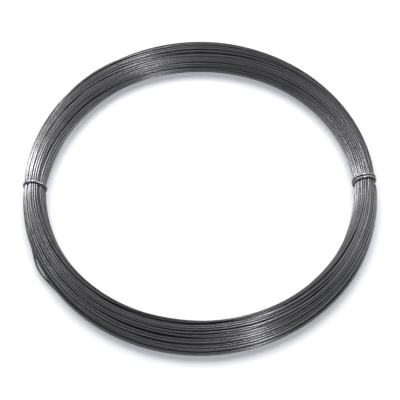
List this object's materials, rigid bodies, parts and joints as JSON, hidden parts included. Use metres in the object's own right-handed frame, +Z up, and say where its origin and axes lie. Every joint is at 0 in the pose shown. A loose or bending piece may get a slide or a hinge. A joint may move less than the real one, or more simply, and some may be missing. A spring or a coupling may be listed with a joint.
{
  "type": "coil of steel wire",
  "caption": "Tied coil of drawn steel wire lying flat: a ring of fanned turns drawn in at its wire ties, stock to be hung on a peg or paid off a reel.",
  "frame": {"origin": "centre of the coil on the floor that it lies on", "axes": "+Z up along the coil's axis, +X from the one-wrap tie towards the two-wrap tie, +Y away from the picture's viewer, the side to which both ties are a little nearer"},
  "size_m": [0.3535, 0.363, 0.0255],
  "materials": {
    "drawn_steel": "drawn, dark grey, bright along the turns",
    "tie_steel": "drawn, dark grey"
  },
  "bodies": {
    "root": {"wire_coil": "drawn_steel", "tie_left": "tie_steel", "tie_right": "tie_steel"}
  },
  "joints": []
}
